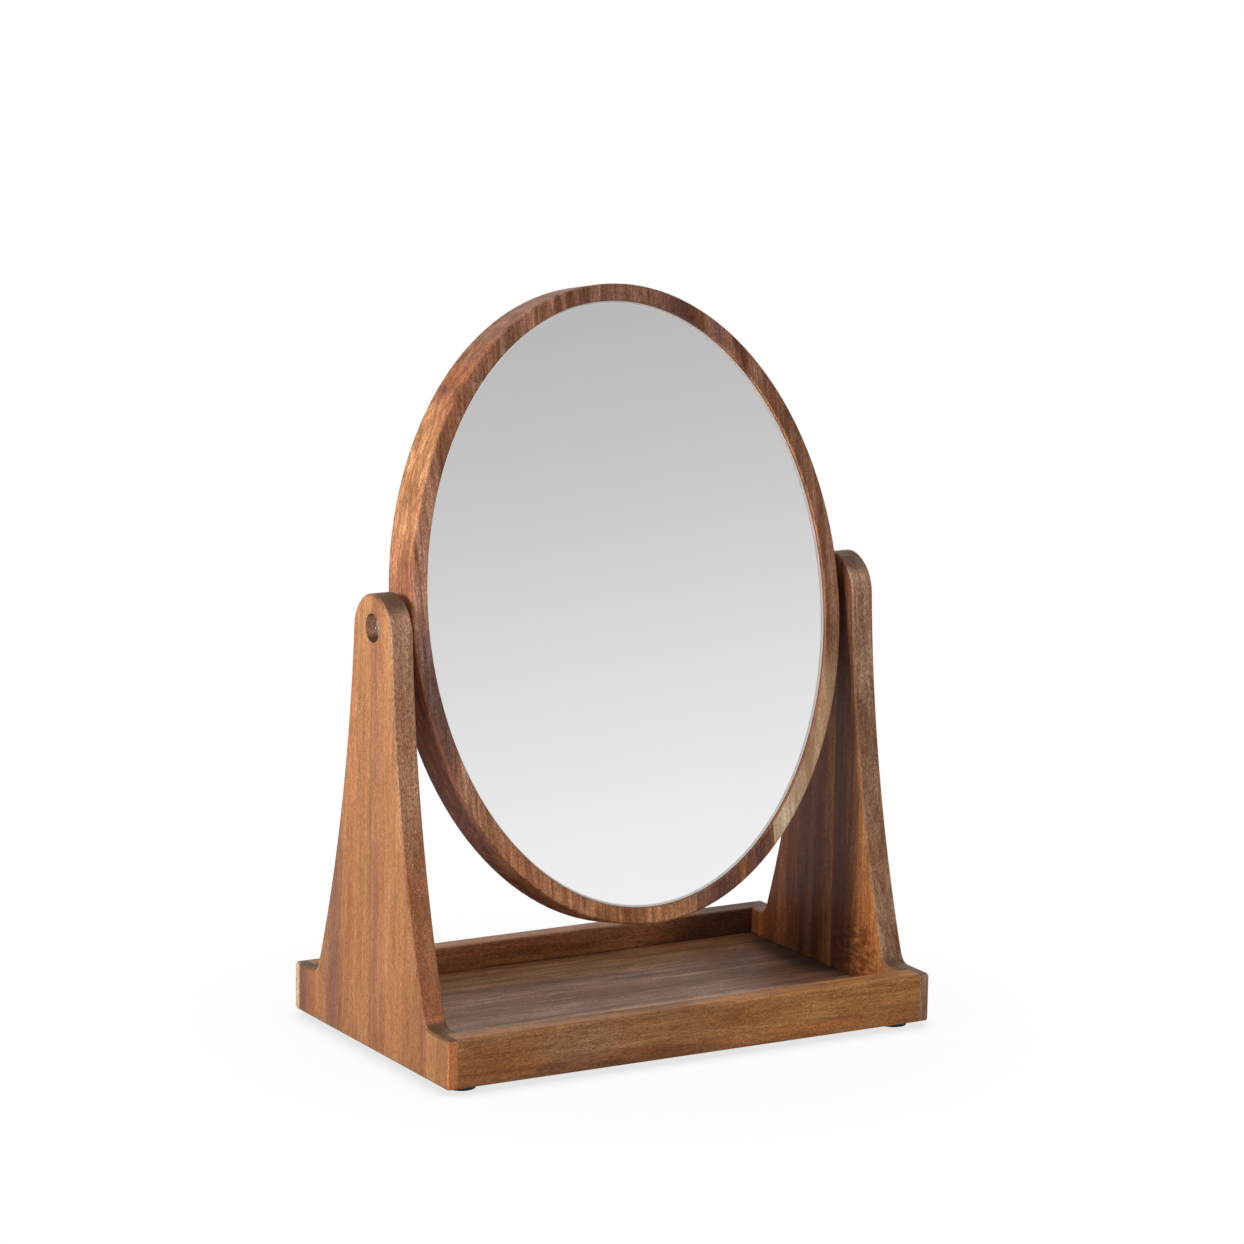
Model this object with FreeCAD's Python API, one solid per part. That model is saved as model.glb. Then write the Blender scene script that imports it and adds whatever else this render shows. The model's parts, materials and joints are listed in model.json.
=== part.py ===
import FreeCAD, Part
import math
import os

# Tabletop mirror that tilts between two side panels, over an open tray.
# Lengths are in millimetres. X runs along the tray, Y from front to back and Z up.
# The origin is on the surface the mirror stands on, under the middle of the tray.

# Mirror: a solid oval board with a shallow pocket that the glass is bonded into.
mirror_width = 221.0
mirror_height = 289.0
frame_thickness = 23.5
frame_band = 7.5            # width of the wooden border seen around the glass
glass_thickness = 3.0
glass_recess = 2.4          # from the border's face back to the glass
glass_clearance = 0.4       # all round, between the glass and the pocket's wall
adhesive_thickness = 0.5
adhesive_radius = 11.0
adhesive_inset = 39.0       # from the pocket's wall in to the ring of dabs
adhesive_count = 4
mirror_lean = 10.9          # degrees that the mirror leans back from upright

# Tray: two side panels with a front and a back rail let into their ends.
panel_thickness = 11.0
side_gap = 3.5              # between the mirror's edge and each side panel
base_depth = 149.0
base_height = 22.5          # height of the rails and of the panels' ledges
rail_thickness = 11.0
rabbet_depth = 6.0          # how far a rail's end is let into a side panel
tray_depth = 12.3           # from the top of the rails down to the tray's floor
floor_thickness = 6.0
floor_tongue = 4.0          # how far the floor is held in the grooves around it
floor_end_clearance = 0.3
groove_side_clearance = 0.2

# Side panel outline: round top, hollow flare, small cove and a flat ledge at each end.
tray_clearance = 25.0       # between the rails' tops and the mirror as it swings
top_above_pivot = 15.2
top_radius = 18.2
flare_radius = 585.0
cove_radius = 7.0
ledge_width = 16.8
ledge_corner_radius = 2.0
base_corner_radius = 1.2

# Softened edges.
panel_edge_bevel = 0.8
rail_inner_round = 1.0
frame_edge_bevel = 0.7
glass_edge_bevel = 0.4
screw_head_bevel = 1.3

# Pivot hardware, the same on both sides.
pivot_screw_radius = 2.5
pivot_screw_length = 20.0
pivot_running_clearance = 0.07   # radial, between the screw and what it turns in
screw_head_radius = 5.0
screw_head_height = 2.6
screw_drive_length = 5.4
screw_drive_width = 1.0
screw_drive_depth = 1.3
counterbore_radius = 6.5
counterbore_depth = 6.6
washer_radius = 5.8
washer_thickness = 0.8
bearing_clearance = 0.1          # axial, where a turning face meets a still one
spacer_radius = 7.5
seat_radius = 8.0
seat_depth = 0.4                 # flat cut into the mirror's edge for the spacer
insert_radius = 4.0
insert_length = 12.0
insert_clearance = 0.05
insert_pocket_spare = 1.0        # empty depth behind the insert

# Dowels in the rails' ends, and feet.
dowel_radius = 2.5
dowel_length = 16.0
dowel_in_panel = 3.5
dowel_clearance = 0.05
dowel_end_clearance = 0.3
foot_radius = 6.5
foot_height = 2.5
foot_end_inset = 12.5            # foot centre from the side panel's outer face
foot_front_inset = 11.0          # foot centre from the front or back

# Sizes that follow from the ones above.
inner_half_length = mirror_width / 2 + side_gap
outer_half_length = inner_half_length + panel_thickness
half_depth = base_depth / 2
inner_half_depth = half_depth - rail_thickness
wood_bottom = foot_height
ledge_height = wood_bottom + base_height
floor_top = ledge_height - tray_depth
pivot_height = ledge_height + tray_clearance + mirror_height / 2
panel_top = pivot_height + top_above_pivot
rail_half_length = inner_half_length + rabbet_depth
pocket_depth = glass_recess + glass_thickness + adhesive_thickness
seat_half_width = mirror_width / 2 - seat_depth
dowel_height = (ledge_height + floor_top) / 2
dowel_y = half_depth - rail_thickness / 2
turning_hole_radius = pivot_screw_radius + pivot_running_clearance
washer_face_x = outer_half_length - counterbore_depth + washer_thickness

X_AXIS = FreeCAD.Vector(1, 0, 0)
Y_AXIS = FreeCAD.Vector(0, 1, 0)
Z_AXIS = FreeCAD.Vector(0, 0, 1)
ORIGIN = FreeCAD.Vector(0, 0, 0)
PIVOT = FreeCAD.Vector(0, 0, pivot_height)
SAME_PLACE = 1e-6


def yz_arc(centre, radius, start_angle, end_angle):
    """Arc in the plane X = 0, with angles in degrees from +Y towards +Z."""
    points = []
    for angle in (start_angle, (start_angle + end_angle) / 2, end_angle):
        turn = math.radians(angle)
        y = centre[0] + radius * math.cos(turn)
        z = centre[1] + radius * math.sin(turn)
        points.append(FreeCAD.Vector(0, y, z))
    return Part.Arc(*points).toShape()


def yz_line(start, end):
    """Straight edge in the plane X = 0 between two (Y, Z) points."""
    return Part.LineSegment(FreeCAD.Vector(0, *start), FreeCAD.Vector(0, *end)).toShape()


def circle_crossing(first, first_radius, second, second_radius):
    """The crossing of two circles in the YZ plane that lies furthest towards +Y."""
    along_y = second[0] - first[0]
    along_z = second[1] - first[1]
    distance = math.hypot(along_y, along_z)
    reach = (first_radius ** 2 - second_radius ** 2 + distance ** 2) / (2 * distance)
    offset = math.sqrt(first_radius ** 2 - reach ** 2)
    foot_y = first[0] + reach * along_y / distance
    foot_z = first[1] + reach * along_z / distance
    shift_y = offset * along_z / distance
    shift_z = offset * along_y / distance
    return max((foot_y - shift_y, foot_z + shift_z), (foot_y + shift_y, foot_z - shift_z))


def angle_between(centre, point):
    """Direction in degrees of a (Y, Z) point seen from a centre."""
    return math.degrees(math.atan2(point[1] - centre[1], point[0] - centre[0]))


def panel_outline():
    """Closed outline of a side panel in the YZ plane, the same in front and behind."""
    top_centre = (0.0, panel_top - top_radius)
    cove_centre = (half_depth - ledge_width, ledge_height + cove_radius)
    flare_centre = circle_crossing(
        top_centre, flare_radius + top_radius, cove_centre, flare_radius - cove_radius)
    neck_angle = angle_between(top_centre, flare_centre)
    cove_angle = angle_between(flare_centre, cove_centre) % 360

    ledge_corner = (half_depth - ledge_corner_radius, ledge_height - ledge_corner_radius)
    base_corner = (half_depth - base_corner_radius, wood_bottom + base_corner_radius)
    flare = yz_arc(flare_centre, flare_radius, 180 + neck_angle, cove_angle)
    cove = yz_arc(cove_centre, cove_radius, cove_angle, 270)
    ledge = yz_line((cove_centre[0], ledge_height), (ledge_corner[0], ledge_height))
    ledge_round = yz_arc(ledge_corner, ledge_corner_radius, 90, 0)
    end = yz_line((half_depth, ledge_corner[1]), (half_depth, base_corner[1]))
    base_round = yz_arc(base_corner, base_corner_radius, 0, -90)

    back_half = [flare, cove, ledge, ledge_round, end, base_round]
    front_half = [edge.mirror(ORIGIN, Y_AXIS) for edge in back_half]
    top = yz_arc(top_centre, top_radius, neck_angle, 180 - neck_angle)
    bottom = yz_line((-base_corner[0], wood_bottom), (base_corner[0], wood_bottom))
    edges = Part.__sortEdges__([top, bottom] + back_half + front_half)
    return Part.Wire(edges)


def edges_at_x(shape, x):
    """Edges that lie wholly in the plane at X = x."""
    found = []
    for edge in shape.Edges:
        box = edge.BoundBox
        if abs(box.XMin - x) < SAME_PLACE and abs(box.XMax - x) < SAME_PLACE:
            found.append(edge)
    return found


def cylinder_along_x(radius, start_x, end_x, y, z):
    """Cylinder along X between two X positions."""
    base = FreeCAD.Vector(min(start_x, end_x), y, z)
    return Part.makeCylinder(radius, abs(end_x - start_x), base, X_AXIS)


def rabbet_blocks():
    """The room that the two rails' ends take out of the right side panel."""
    blocks = []
    for low_y in (-half_depth, inner_half_depth):
        corner = FreeCAD.Vector(inner_half_length, low_y, wood_bottom)
        blocks.append(Part.makeBox(rabbet_depth, rail_thickness, base_height, corner))
    return blocks


def floor_groove_block():
    """The room for the tray floor's edges, taken out of the panels and the rails."""
    half_x = inner_half_length + floor_tongue
    half_y = inner_half_depth + floor_tongue
    low_z = floor_top - floor_thickness
    corner = FreeCAD.Vector(-half_x, -half_y, low_z)
    return Part.makeBox(2 * half_x, 2 * half_y, floor_thickness + groove_side_clearance, corner)


def right_side_panel():
    """Side panel with its pivot hole, counterbore, rabbets, groove and dowel holes."""
    panel = Part.Face(panel_outline()).extrude(X_AXIS * panel_thickness)
    panel.translate(X_AXIS * inner_half_length)
    for face_x in (inner_half_length, outer_half_length):
        panel = panel.makeChamfer(panel_edge_bevel, edges_at_x(panel, face_x))

    cuts = rabbet_blocks()
    cuts.append(floor_groove_block())
    bore_floor = outer_half_length - counterbore_depth
    cuts.append(cylinder_along_x(
        turning_hole_radius, inner_half_length, bore_floor, 0, pivot_height))
    cuts.append(cylinder_along_x(counterbore_radius, bore_floor, outer_half_length, 0, pivot_height))
    hole_end = rail_half_length + dowel_in_panel + dowel_end_clearance
    for y in (-dowel_y, dowel_y):
        cuts.append(cylinder_along_x(
            dowel_radius + dowel_clearance, rail_half_length, hole_end, y, dowel_height))
    return panel.cut(cuts)


def back_rail():
    """Rail with softened edges, a groove for the floor and dowel holes in its ends."""
    low = wood_bottom
    high = ledge_height
    inner = inner_half_depth
    outer = half_depth
    inner_corner = (inner + rail_inner_round, high - rail_inner_round)
    top_corner = (outer - ledge_corner_radius, high - ledge_corner_radius)
    base_corner = (outer - base_corner_radius, low + base_corner_radius)
    section = Part.Wire([
        yz_line((inner, low), (inner, inner_corner[1])),
        yz_arc(inner_corner, rail_inner_round, 180, 90),
        yz_line((inner_corner[0], high), (top_corner[0], high)),
        yz_arc(top_corner, ledge_corner_radius, 90, 0),
        yz_line((outer, top_corner[1]), (outer, base_corner[1])),
        yz_arc(base_corner, base_corner_radius, 0, -90),
        yz_line((base_corner[0], low), (inner, low)),
    ])
    rail = Part.Face(section).extrude(X_AXIS * (2 * rail_half_length))
    rail.translate(X_AXIS * -rail_half_length)

    cuts = [floor_groove_block()]
    hole_depth = dowel_length - dowel_in_panel + dowel_end_clearance
    for side in (-1, 1):
        rail_end = side * rail_half_length
        cuts.append(cylinder_along_x(
            dowel_radius + dowel_clearance, rail_end, rail_end - side * hole_depth,
            dowel_y, dowel_height))
    return rail.cut(cuts)


def tray_floor():
    """Plain board held by its edges in the grooves of the panels and the rails."""
    half_x = inner_half_length + floor_tongue - floor_end_clearance
    half_y = inner_half_depth + floor_tongue - floor_end_clearance
    corner = FreeCAD.Vector(-half_x, -half_y, floor_top - floor_thickness)
    return Part.makeBox(2 * half_x, 2 * half_y, floor_thickness, corner)


def rail_dowels():
    """One dowel in each of the four joints between a rail and a side panel."""
    dowels = []
    outer_end = rail_half_length + dowel_in_panel
    for y in (-dowel_y, dowel_y):
        dowel = cylinder_along_x(dowel_radius, outer_end - dowel_length, outer_end, y, dowel_height)
        dowels.append(dowel)
        dowels.append(dowel.mirror(ORIGIN, X_AXIS))
    return Part.Compound(dowels)


def foot(side, end):
    """Round pad under one corner: side is -1 at the left, end is -1 at the front."""
    x = side * (outer_half_length - foot_end_inset)
    y = end * (half_depth - foot_front_inset)
    return Part.makeCylinder(foot_radius, foot_height, FreeCAD.Vector(x, y, 0))


def oval_board(half_width, half_height, front_y, thickness):
    """Upright oval board about the pivot, from its front face backwards."""
    centre = FreeCAD.Vector(0, front_y, pivot_height)
    tallest = centre + Z_AXIS * half_height
    widest = centre + X_AXIS * half_width
    outline = Part.Ellipse(tallest, widest, centre).toShape()
    return Part.Face(Part.Wire(outline)).extrude(Y_AXIS * thickness)


def edges_at_y(shape, y):
    """Edges that lie wholly in the plane at Y = y."""
    found = []
    for edge in shape.Edges:
        box = edge.BoundBox
        if abs(box.YMin - y) < SAME_PLACE and abs(box.YMax - y) < SAME_PLACE:
            found.append(edge)
    return found


def lean(shape):
    """Lean an upright piece of the mirror back about the pivot."""
    leaned = shape.copy()
    leaned.rotate(PIVOT, X_AXIS, -mirror_lean)
    return leaned


def mirror_frame():
    """Oval board with the glass pocket, spacer seats and holes for the inserts."""
    front = -frame_thickness / 2
    board = oval_board(mirror_width / 2, mirror_height / 2, front, frame_thickness)
    rims = edges_at_y(board, front) + edges_at_y(board, -front)
    board = board.makeChamfer(frame_edge_bevel, rims)

    cuts = [oval_board(
        mirror_width / 2 - frame_band, mirror_height / 2 - frame_band, front, pocket_depth)]
    hole_end = seat_half_width - insert_length - insert_pocket_spare
    for side in (-1, 1):
        cuts.append(cylinder_along_x(
            seat_radius, side * seat_half_width, side * outer_half_length, 0, pivot_height))
        cuts.append(cylinder_along_x(
            insert_radius + insert_clearance, side * seat_half_width, side * hole_end,
            0, pivot_height))
    return lean(board.cut(cuts))


def mirror_glass():
    """Oval glass with a finely bevelled front edge, set back in the pocket."""
    front = -frame_thickness / 2 + glass_recess
    inset = frame_band + glass_clearance
    glass = oval_board(mirror_width / 2 - inset, mirror_height / 2 - inset, front, glass_thickness)
    glass = glass.makeChamfer(glass_edge_bevel, edges_at_y(glass, front))
    return lean(glass)


def mirror_adhesive():
    """Flat dabs of adhesive between the glass and the floor of its pocket."""
    back_of_glass = -frame_thickness / 2 + glass_recess + glass_thickness
    reach_x = mirror_width / 2 - frame_band - adhesive_inset
    reach_z = mirror_height / 2 - frame_band - adhesive_inset
    dabs = []
    for index in range(adhesive_count):
        turn = 2 * math.pi * (index + 0.5) / adhesive_count
        x = reach_x * math.cos(turn)
        z = pivot_height + reach_z * math.sin(turn)
        base = FreeCAD.Vector(x, back_of_glass, z)
        dabs.append(Part.makeCylinder(adhesive_radius, adhesive_thickness, base, Y_AXIS))
    return lean(Part.Compound(dabs))


def tube_along_x(outer_radius, inner_radius, start_x, end_x):
    """Washer, spacer or sleeve around the pivot axis."""
    body = cylinder_along_x(outer_radius, start_x, end_x, 0, pivot_height)
    return body.cut(cylinder_along_x(inner_radius, start_x, end_x, 0, pivot_height))


def right_pivot_screw():
    """Pan-headed screw with a cross drive, along the pivot axis."""
    head_base = washer_face_x + bearing_clearance
    head_top = head_base + screw_head_height
    head = cylinder_along_x(screw_head_radius, head_base, head_top, 0, pivot_height)
    head = head.makeChamfer(screw_head_bevel, edges_at_x(head, head_top))

    tip = head_base - pivot_screw_length
    shank = cylinder_along_x(pivot_screw_radius, tip, head_base, 0, pivot_height)
    return head.fuse(shank).cut(drive_slots(head_top))


def drive_slots(head_top):
    """The two crossing slots of the screw's drive."""
    slots = []
    for size_y, size_z in (
            (screw_drive_length, screw_drive_width), (screw_drive_width, screw_drive_length)):
        corner = FreeCAD.Vector(
            head_top - screw_drive_depth, -size_y / 2, pivot_height - size_z / 2)
        slots.append(Part.makeBox(screw_drive_depth, size_y, size_z, corner))
    return slots


def right_head_washer():
    """Washer on the counterbore's floor, under the screw's head."""
    return tube_along_x(
        washer_radius, turning_hole_radius, washer_face_x - washer_thickness, washer_face_x)


def right_pivot_spacer():
    """Spacer between the mirror's seat and the side panel, which turns with the mirror."""
    return tube_along_x(
        spacer_radius, turning_hole_radius, seat_half_width, inner_half_length - bearing_clearance)


def right_threaded_insert():
    """Sleeve in the mirror's edge that takes the screw's thread."""
    return tube_along_x(
        insert_radius, turning_hole_radius, seat_half_width - insert_length, seat_half_width)


def left_of(shape):
    """The matching piece on the left."""
    return shape.mirror(ORIGIN, X_AXIS)


def build_pieces():
    """Every piece by its name."""
    panel = right_side_panel()
    rail = back_rail()
    pieces = {
        "left_side_panel": left_of(panel),
        "right_side_panel": panel,
        "front_rail": rail.mirror(ORIGIN, Y_AXIS),
        "back_rail": rail,
        "tray_floor": tray_floor(),
        "rail_dowels": rail_dowels(),
        "mirror_frame": mirror_frame(),
        "mirror_glass": mirror_glass(),
        "mirror_adhesive": mirror_adhesive(),
    }
    for end_name, end in (("front", -1), ("back", 1)):
        for side_name, side in (("left", -1), ("right", 1)):
            pieces[f"{end_name}_{side_name}_foot"] = foot(side, end)
    hardware = {
        "pivot_screw": lean(right_pivot_screw()),
        "head_washer": right_head_washer(),
        "pivot_spacer": lean(right_pivot_spacer()),
        "threaded_insert": lean(right_threaded_insert()),
    }
    for name, shape in hardware.items():
        pieces[f"right_{name}"] = shape
        pieces[f"left_{name}"] = left_of(shape)
    return pieces


os.makedirs("parts", exist_ok=True)
for piece_name, piece in build_pieces().items():
    piece.exportStep(f"parts/{piece_name}.step")
    box = piece.BoundBox
    print(f"{piece_name:24s} solids {len(piece.Solids)}  volume {piece.Volume:10.1f}  "
          f"size {box.XLength:6.1f} x {box.YLength:6.1f} x {box.ZLength:6.1f}")
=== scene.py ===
# %% [markdown]
# # An oval mirror that tilts between two wooden uprights
# The mirror stands on a dressing table or a washstand. Its shapes are engineered solids made to
# the millimetre, so this lesson imports them unchanged. What is added here is what the solids
# lack: the oiled acacia with its staves, pores and worn edges, the silvered glass and the bead
# round it, the small metal and rubber parts, a soft studio, and a camera. The scene is in metres,
# Z is up, and the user of the mirror stands on the -Y side. Boards, glass and the marks on them
# are measured in millimetres, as off a ruler, and turned into metres where a node needs that.

import json
import math

import bmesh
import bpy
from mathutils import Matrix, Vector


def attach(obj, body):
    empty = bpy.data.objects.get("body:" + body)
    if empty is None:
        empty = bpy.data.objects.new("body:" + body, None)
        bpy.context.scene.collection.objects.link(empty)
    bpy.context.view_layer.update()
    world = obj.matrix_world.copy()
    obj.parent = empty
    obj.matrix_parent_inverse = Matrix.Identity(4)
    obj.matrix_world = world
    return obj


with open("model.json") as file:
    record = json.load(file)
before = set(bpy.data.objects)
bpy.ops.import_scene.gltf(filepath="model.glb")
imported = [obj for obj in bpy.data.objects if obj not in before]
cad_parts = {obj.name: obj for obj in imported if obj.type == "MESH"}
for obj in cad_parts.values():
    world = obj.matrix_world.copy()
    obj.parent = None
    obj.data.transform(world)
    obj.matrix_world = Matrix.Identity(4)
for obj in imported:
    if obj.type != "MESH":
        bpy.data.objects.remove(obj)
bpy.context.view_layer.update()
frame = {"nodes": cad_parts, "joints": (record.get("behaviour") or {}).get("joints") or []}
nodes = frame["nodes"]

# %% [markdown]
# ## The axis and the lean
# The turning axis runs along X through the two screws, and the mirror leans back about it. Grain
# on the oval board follows the board, so its finish needs both. The axis could be typed in, but
# it is read from the joint, because a copied number would go stale if the stand grew taller. The
# lean is one of the sizes that the stand was drawn with.

# %% Where the mirror turns
MM = 0.001
turning_axis = Vector(frame["joints"][0]["pos_m"])
mirror_lean = math.radians(10.9)
print("the mirror turns about", tuple(turning_axis), "and leans", mirror_lean, "radians")

# %% [markdown]
# ## A short way to write shader nodes
# A finish is a chain of nodes. Placing each with four lines of code hides the idea behind the
# typing, so one helper places a node, sets its options, and fills its sockets: a plain value is
# stored on the socket, and another node's output is wired to it. A finish then reads like a
# recipe, one line for each step. Colours are written as on a paint chart, from 0 to 255, and
# turned into the amounts of light that nodes work with.


# %% Node helpers
def put(tree, kind, *values, **options):
    """Place a shader node. values fill its sockets in order, and None leaves a socket alone."""
    node = tree.nodes.new("ShaderNode" + kind)
    for option, setting in options.items():
        setattr(node, option, setting)
    for socket, value in zip(node.inputs, values):
        fill(tree, socket, value)
    return node


def fill(tree, socket, value):
    """Wire an output to a socket, or store a plain value on it."""
    if isinstance(value, bpy.types.NodeSocket):
        tree.links.new(value, socket)
    elif value is not None:
        socket.default_value = value


def calc(tree, operation, *values):
    """One sum on plain numbers."""
    return put(tree, "Math", *values, operation=operation).outputs[0]


def straight(tree, value, low, high, to_low=0.0, to_high=1.0):
    """Stretch the range from low to high onto another one, evenly."""
    return put(tree, "MapRange", value, low, high, to_low, to_high).outputs[0]


def remap(tree, value, low, high, to_low=0.0, to_high=1.0):
    """Stretch the range from low to high onto another one, with soft ends."""
    node = put(tree, "MapRange", value, low, high, to_low, to_high,
               interpolation_type="SMOOTHSTEP")
    return node.outputs[0]


def tint(tree, amount, below, above, blend="MIX"):
    """Lay one colour over another."""
    node = put(tree, "Mix", data_type="RGBA", blend_type=blend)
    fill(tree, node.inputs[0], amount)
    fill(tree, node.inputs[6], below)
    fill(tree, node.inputs[7], above)
    return node.outputs[2]


def noise(tree, where, detail=2.0, roughness=0.55):
    """Cloudy noise, one blob per unit of the place it is given."""
    node = put(tree, "TexNoise", where)
    node.inputs["Scale"].default_value = 1.0
    node.inputs["Detail"].default_value = detail
    node.inputs["Roughness"].default_value = roughness
    return node.outputs[0]


def scaled(tree, vector, across, through, along):
    """Squeeze space, so that a blob of noise becomes a fibre. The numbers are how many blobs fit
    in a metre each way."""
    node = put(tree, "VectorMath", vector, operation="MULTIPLY")
    node.inputs[1].default_value = (across, through, along)
    return node.outputs[0]


def colour(red, green, blue):
    """A colour as a paint chart gives it, from 0 to 255, as the light value that nodes use."""
    parts = [part / 255 for part in (red, green, blue)]
    return (*[p / 12.92 if p <= 0.04045 else ((p + 0.055) / 1.055) ** 2.4 for p in parts], 1)


def new_finish(name):
    """A material with a Principled shader, and that shader."""
    material = bpy.data.materials.new(name)
    material.use_nodes = True
    return material, material.node_tree, material.node_tree.nodes["Principled BSDF"]


print("a paint of 128 gives back", round(colour(128, 128, 128)[0], 3), "of the light")

# %% [markdown]
# ## Oiled acacia
# Acacia is a hard brown wood whose colour swings from honey to chocolate within one plank, with
# red and purple streaks, fine open pores and now and then a pale strip of sapwood. A picture of a
# plank could be pasted on, but an image stretches at edges and stops at the end grain. Here the
# wood is a block of procedural material that the part is cut from, so end grain, edges and the
# inside of a bore come out right by themselves. Seven layers make it:
#
# 1. the tones across the board, a gradient that a slow noise bends, with patches laid on it;
# 2. growth lines, the contour lines of a noise drawn out along the grain;
# 3. bands, clouds, streaks and fibres, the same noise drawn out in other sizes;
# 4. pores, short dark dashes, which show as dots where the grain ends;
# 5. flecks, where the edge of a board is cut across its growth;
# 6. glue lines, where the board is made up from staves, each with its own figure;
# 7. corners a little lighter, partly rubbed by hands and partly a painted highlight where light
#    would roll over them, found where a rounded normal leaves the flat one.

# %% The wood's own directions
directions = {"up, flat on X": (1, 0, 2), "up, flat on Y": (0, 1, 2),
              "sideways, flat on Y": (2, 1, 0), "sideways, flat on Z": (1, 2, 0)}


def wood_directions(tree, grain, leans):
    """Where a point is across, through and along the grain, in metres, and how much its
    surface faces across and along the grain, from -1 to 1."""
    place = put(tree, "TexCoord")
    point, facing = place.outputs["Object"], place.outputs["Normal"]
    if leans:
        point = upright(tree, point, tuple(turning_axis))
        facing = upright(tree, facing, (0, 0, 0))
    spot = put(tree, "SeparateXYZ", point).outputs
    faces = put(tree, "SeparateXYZ", facing).outputs
    order = directions[grain]
    wood = put(tree, "CombineXYZ", *[spot[i] for i in order]).outputs[0]
    return wood, faces[order[0]], faces[order[2]]


def upright(tree, vector, centre):
    """Turn a point or direction of the leaning board back to where it was when upright."""
    node = put(tree, "VectorRotate", vector, centre, rotation_type="EULER_XYZ")
    node.inputs["Rotation"].default_value = (mirror_lean, 0, 0)
    return node.outputs[0]


print("the grain can run:", "; ".join(directions))

# %% Bending and staves
bend_blobs = (14, 14, 3.5)
glue_line, glue_fade = 0.08 * MM, 0.25 * MM


def bent(tree, wood, amount):
    """The same place, moved sideways by a slow noise, so that no line of the wood is ruled."""
    slow = put(tree, "TexNoise", scaled(tree, wood, *bend_blobs))
    slow.inputs["Scale"].default_value = 1.0
    slow.inputs["Detail"].default_value = 2.0
    centred = put(tree, "VectorMath", slow.outputs[1], (0.5, 0.5, 0.5), operation="SUBTRACT")
    small = put(tree, "VectorMath", centred.outputs[0], (amount, amount, 0), operation="MULTIPLY")
    return put(tree, "VectorMath", wood, small.outputs[0]).outputs[0]


def staves(tree, across, joints):
    """How many glue lines lie before a place, and how near the closest is, from 0 to 1."""
    count, line = 0.0, 0.0
    for joint in joints:
        past = calc(tree, "GREATER_THAN", across, joint * MM)
        away = calc(tree, "ABSOLUTE", calc(tree, "SUBTRACT", across, joint * MM))
        count = calc(tree, "ADD", past, count)
        line = calc(tree, "MAXIMUM", remap(tree, away, glue_line, glue_fade, 1.0, 0.0), line)
    return count, line


print("glue lines are", round(2 * glue_line / MM, 2), "mm wide")


# %% Tones across a board
green_depth, blue_depth = 1.25, 1.5


def gradient(tree, place, tones):
    """Colours along one direction of the board. tones is a list of (millimetres, colour)."""
    low, high = tones[0][0], tones[-1][0]
    ramp = put(tree, "ValToRGB", straight(tree, place, low * MM, high * MM))
    stops = ramp.color_ramp.elements
    stops[0].color, stops[1].color = colour(*tones[0][1]), colour(*tones[-1][1])
    for millimetres, tone in tones[1:-1]:
        stops.new((millimetres - low) / (high - low)).color = colour(*tone)
    return ramp.outputs[0]


def deepened(tree, shade, strength):
    """Darker wood is also redder, so blue falls faster than green, and green than red."""
    green = calc(tree, "POWER", strength, green_depth)
    blue = calc(tree, "POWER", strength, blue_depth)
    depth = put(tree, "CombineColor", strength, green, blue).outputs[0]
    return tint(tree, 1.0, shade, depth, "MULTIPLY")


print("wood with 0.8 of its red has", round(0.8 ** green_depth, 2), "of its green and",
      round(0.8 ** blue_depth, 2), "of its blue")

# %% Patches and sapwood
patch_core = 0.45
sapwood_line = 0.5


def oval_patch(tree, place, across, along, wide, long):
    """1 in the middle of a soft oval on the board and 0 outside. Middle and half sizes are in
    millimetres."""
    offset = put(tree, "VectorMath", place, (across * MM, 0, along * MM), operation="SUBTRACT")
    unit = scaled(tree, offset.outputs[0], 1000 / wide, 0, 1000 / long)
    away = put(tree, "VectorMath", unit, operation="LENGTH").outputs["Value"]
    return remap(tree, away, patch_core, 1.0, 1.0, 0.0)


def patched(tree, place, shade, patches):
    """Lay patches of another tone: sapwood, heartwood or a small knot. patches is a list of
    (across, along, half width, half length, tone, strength)."""
    for *shape, tone, amount in patches:
        spread = calc(tree, "MULTIPLY", oval_patch(tree, place, *shape), amount)
        shade = tint(tree, spread, shade, colour(*tone))
    return shade


def pale_strip(tree, across, along, shade, strength, start, tones):
    """Sapwood from one place across the board to its edge. It begins along a sharp line, its
    figure is half as strong, and it fades out between its last two tones."""
    beside = remap(tree, across, (start - sapwood_line) * MM, (start + sapwood_line) * MM)
    strip = calc(tree, "MULTIPLY", beside,
                 remap(tree, along, tones[-2][0] * MM, tones[-1][0] * MM, 1.0, 0.0))
    faint = calc(tree, "MULTIPLY_ADD", strength, 0.5, 0.5)
    return (tint(tree, strip, shade, gradient(tree, along, tones)),
            straight(tree, strip, 0.0, 1.0, strength, faint))


print("a patch fades beyond", patch_core, "of its size, sapwood within", 2 * sapwood_line, "mm")

# %% [markdown]
# ## The figure of the wood
# Figure is what the growth of a tree draws on a board. A painter combs it through wet glaze, and
# a shader can do nearly the same: noise is stretched along the grain until its blobs are lines.
# One noise gives one size of line, and wood has many, so several are multiplied together. Each
# layer says how many blobs it has in a metre across and along the grain, its detail and
# roughness, how far from its middle the noise is used, and how much lighter or darker it makes
# the wood. The broad layers grow with the contrast of the board, and the fine ones are always
# the same.

# %% Growth lines and layers
growth_blobs = (30, 30, 2.6)
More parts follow.
